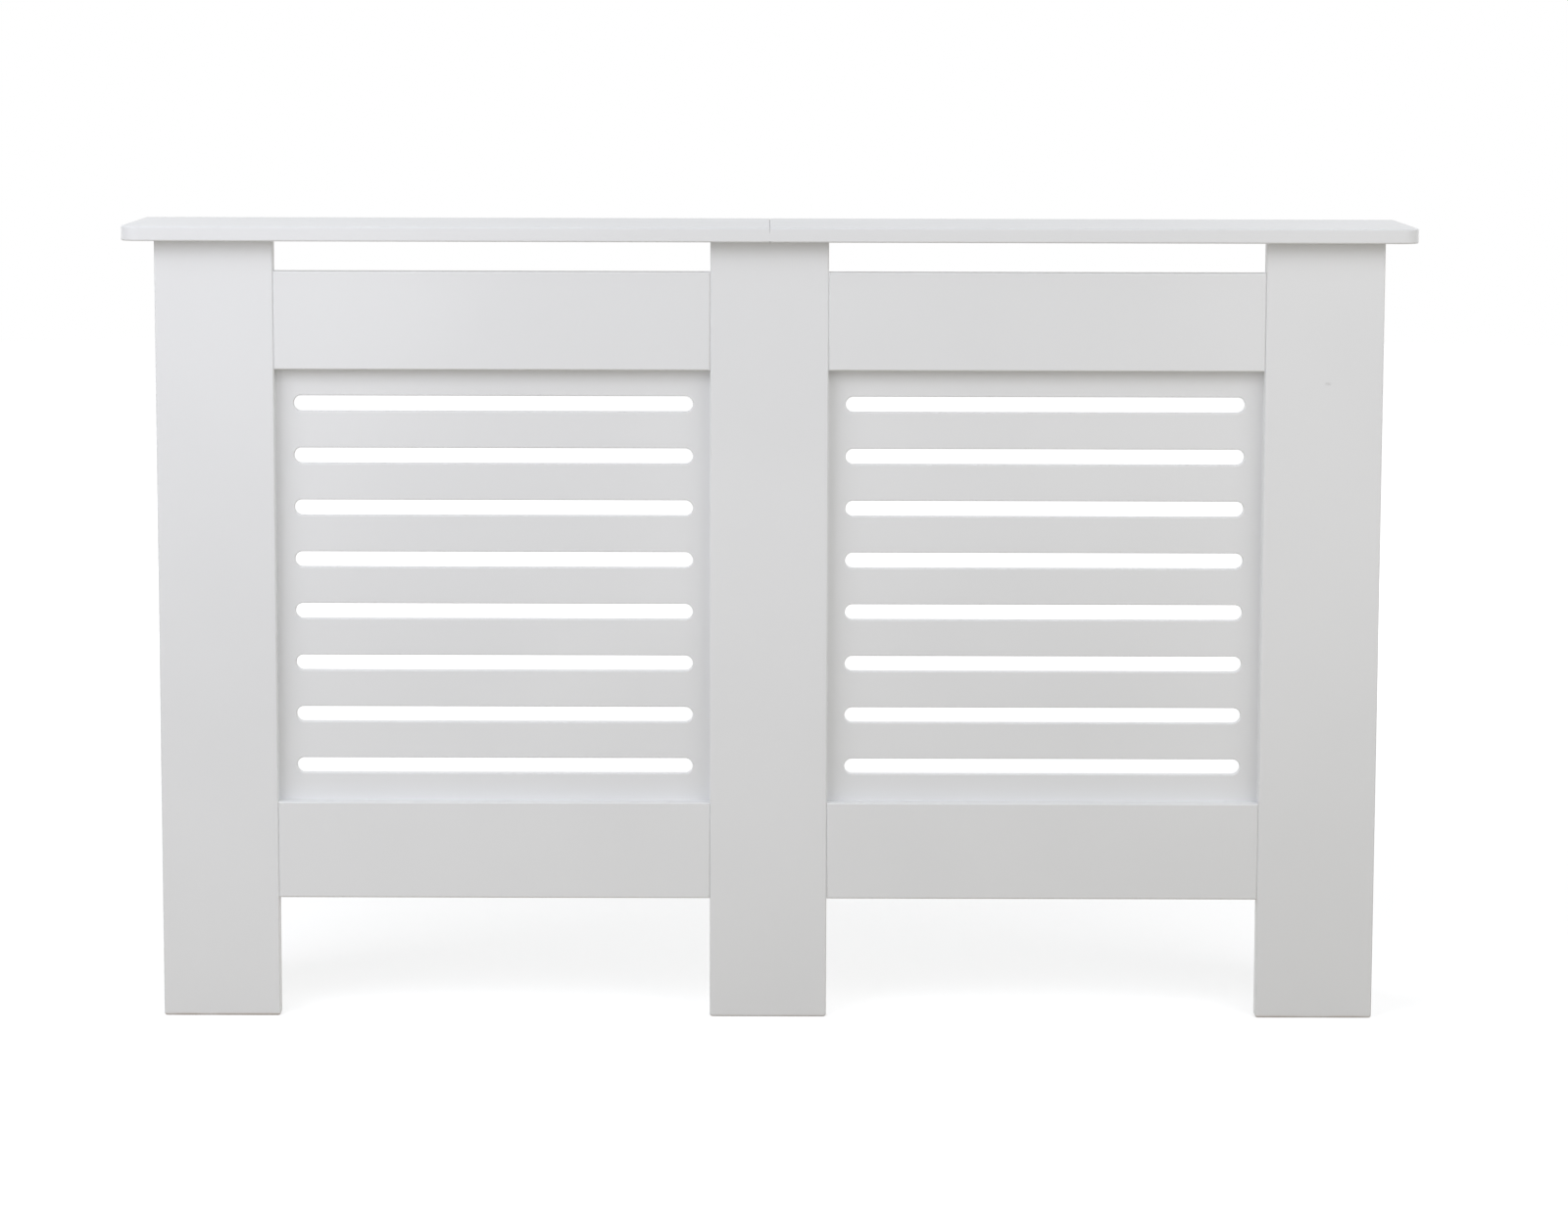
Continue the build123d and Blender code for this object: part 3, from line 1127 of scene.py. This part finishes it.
@dataclass
class Fittings:
    """Cams, bolts, dowels, biscuits, brackets, the joining plate and the screws."""

    finishes: Finishes
    metal_edge: float = 0.25 * MM
    sharp_above: float = 50.0
    upright: Point = (0.0, 0.0, 0.0)
    to_the_wall: Point = (-math.pi / 2, 0.0, 0.0)

    def metal(self, node: str, slot: Slot, finish: Material) -> None:
        """Shows a stamped or cast piece with its sharp edges broken.

        Args:
            node: The piece's solid.
            slot: Its slot in the record.
            finish: Its finish.
        """

        def soften(bm: BMesh) -> None:
            """Rounds the sharp edges."""
            bevel(bm, edges_turning(bm, self.sharp_above), self.metal_edge, FINE_STEPS)

        mesh = edit(welded(node), soften)
        dress(mesh, finish)
        Piece(node, slot, mesh).show()

    def build(self) -> None:
        """Makes every fitting."""
        steel = self.finishes.steel
        row = RidgedRow()
        screw, bolt, dowel = PanScrew(), CamBolt(), Dowel()
        screws = ["seam_plate_screws", *(hand.node("bracket_screw") for hand in Hand)]
        for node in screws:
            mesh = row.make(node, screw.blank(), screw.thread, self.upright, steel)
            Piece(node, Slot.STEEL, mesh).show()
        for hand in Hand:
            self.metal(hand.node("wall_bracket"), Slot.STEEL, steel)
            self.metal(hand.node("side_cams"), Slot.CAM, self.finishes.cast)
            node = hand.node("side_cam_bolts")
            mesh = row.make(node, bolt.blank(), bolt.thread, self.to_the_wall, steel)
            Piece(node, Slot.STEEL, mesh).show()
            node = hand.node("shelf_dowels")
            mesh = row.make(node, dowel.blank(), dowel.flutes, self.upright, self.finishes.beech)
            Piece(node, Slot.BEECH, mesh, smooth_below=25.0).show()
            dress(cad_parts[hand.node("frame_biscuits")].data, self.finishes.pressed_beech)
        self.metal("seam_plate", Slot.STEEL, steel)


# ---- Studio ----


@dataclass(frozen=True)
class Lamp:
    """One soft area lamp."""

    name: str
    place: Point
    aim: Point
    size: tuple[float, float]
    power: float
    colour: Colour = (1.0, 1.0, 1.0)

    def hang(self) -> None:
        """Puts the lamp in the scene."""
        light = bpy.data.lights.new(self.name, "AREA")
        light.shape = "RECTANGLE"
        light.size, light.size_y = self.size
        light.energy = self.power
        light.color = self.colour
        lamp = bpy.data.objects.new(self.name, light)
        lamp.location = self.place
        lamp.rotation_euler = (Vector(self.aim) - Vector(self.place)).to_track_quat("-Z", "Y").to_euler()
        bpy.context.scene.collection.objects.link(lamp)


@dataclass(frozen=True)
class View:
    """The camera of the photograph."""

    place: Point = (-0.0037, -4.295, 1.032)
    pitch: float = 6.56
    roll: float = 0.14
    focal_px: float = 4259.0
    shift: tuple[float, float] = (0.0118, -0.08)
    width_px: float = 1600.0
    sensor: float = 36.0

    def set_up(self) -> None:
        """Makes the camera and gives it to the scene."""
        data = bpy.data.cameras.new("camera")
        data.sensor_width = self.sensor
        data.lens = self.focal_px / self.width_px * self.sensor
        data.shift_x, data.shift_y = self.shift
        camera = bpy.data.objects.new("camera", data)
        camera.location = self.place
        tilt = Matrix.Rotation(math.radians(90 - self.pitch), 4, "X")
        camera.rotation_euler = (tilt @ Matrix.Rotation(math.radians(self.roll), 4, "Z")).to_euler()
        bpy.context.scene.collection.objects.link(camera)
        bpy.context.scene.camera = camera


@dataclass
class Studio:
    """A white sweep of floor under soft light."""

    floor_radius: float = 9.0
    floor_shade: float = 0.65
    floor_glow: tuple[float, float] = (0.5, 0.78)  # beside the cabinet, and far off where less light falls
    glow_reach: tuple[float, float] = (1.6, 4.5)
    bounce: Colour = (0.505, 0.47, 0.395)
    ambient: Colour = (0.397, 0.404, 0.412)
    lamps: tuple[Lamp, ...] = (
        Lamp("left_front", (-2.1, -2.0, 2.3), (-0.4, 0.0, 0.6), (2.4, 2.0), 23.9, (0.965, 0.975, 1.0)),
        Lamp("right_front", (2.1, -2.0, 2.3), (0.4, 0.0, 0.6), (2.4, 2.0), 21.4, (0.98, 0.99, 1.0)),
        Lamp("left_near", (-1.1, -1.0, 1.15), (-0.65, 0.0, 0.7), (1.8, 1.4), 8.3, (0.9, 0.91, 1.0)),
        Lamp("right_near", (1.1, -1.0, 1.15), (0.65, 0.0, 0.7), (1.8, 1.4), 4.2, (1.0, 0.98, 0.995)),
        Lamp("left_behind", (-1.9, 2.4, 2.9), (0.0, 0.0, 0.4), (2.4, 2.2), 20.0),
        Lamp("right_behind", (1.9, 2.4, 2.9), (0.0, 0.0, 0.4), (2.4, 2.2), 20.0),
        Lamp("left_low", (-2.2, 2.6, 0.62), (0.0, 0.0, 0.42), (2.2, 0.5), 12.0),
        Lamp("right_low", (2.2, 2.6, 0.62), (0.0, 0.0, 0.42), (2.2, 0.5), 12.0),
    )

    def seen(self, tree: NodeTree) -> Node:
        """One for the rays that show the background, in view, in gloss and through glass.

        Args:
            tree: The tree that asks.

        Returns:
            The node that says so.
        """
        path = tree.add("ShaderNodeLightPath").outputs
        gloss = tree.math("MAXIMUM", path["Is Glossy Ray"], path["Is Transmission Ray"])
        return tree.math("MAXIMUM", path["Is Camera Ray"], gloss)

    def floor(self) -> None:
        """Lays the floor: white to the eye, with the cabinet's soft shadow."""
        tree = ShaderTree("white_floor")
        reach = tree.add("ShaderNodeVectorMath", {0: tree.place}, operation="LENGTH").outputs["Value"]
        glow = tree.span(reach, *self.glow_reach, *self.floor_glow)
        lit = tree.add("ShaderNodeBsdfDiffuse", {"Color": opaque((self.floor_shade,) * 3)})
        glowing = tree.add("ShaderNodeEmission", {"Strength": glow})
        shown = tree.add("ShaderNodeAddShader", {0: lit, 1: glowing})
        bounced = tree.add("ShaderNodeBsdfDiffuse", {"Color": opaque(self.bounce)})
        mixed = tree.add("ShaderNodeMixShader", {0: self.seen(tree), 1: bounced, 2: shown})
        tree.add("ShaderNodeOutputMaterial", {"Surface": mixed})
        mesh = bpy.data.meshes.new("floor")

        def disc(bm: BMesh) -> None:
            """Makes the round floor."""
            bmesh.ops.create_circle(bm, cap_ends=True, segments=96, radius=self.floor_radius)

        floor = bpy.data.objects.new("floor", edit(mesh, disc))
        floor.data.materials.append(tree.material)
        bpy.context.scene.collection.objects.link(floor)

    def sky(self) -> None:
        """Sets the world: even light on the cabinet, plain white behind it."""
        world = bpy.data.worlds.new("studio")
        bpy.context.scene.world = world
        world.use_nodes = True
        tree = NodeTree(world.node_tree)
        even = tree.add("ShaderNodeBackground", {"Color": opaque(self.ambient), "Strength": 1.0})
        white = tree.add("ShaderNodeBackground", {"Color": opaque((1.0, 1.0, 1.0)), "Strength": 1.0})
        mixed = tree.add("ShaderNodeMixShader", {0: self.seen(tree), 1: even, 2: white})
        tree.add("ShaderNodeOutputWorld", {"Surface": mixed})

    def build(self) -> None:
        """Sets up the floor, the world, the lamps, the camera and the view transform."""
        self.floor()
        self.sky()
        for lamp in self.lamps:
            lamp.hang()
        View().set_up()
        bpy.context.scene.view_settings.view_transform = "Standard"


def main() -> None:
    """Builds the cabinet and its studio, one sub-assembly after another."""
    logging.basicConfig(level=logging.INFO, format="%(name)s: %(message)s")
    finishes = Finishes()
    parts: Iterable[FaceFrame | Grilles | Carcass | Fittings | Studio] = (
        FaceFrame(finishes),
        Grilles(finishes),
        Carcass(finishes),
        Fittings(finishes),
        Studio(),
    )
    for part in parts:
        log.info("building %s", type(part).__name__)
        part.build()


if __name__ == "__main__":
    main()
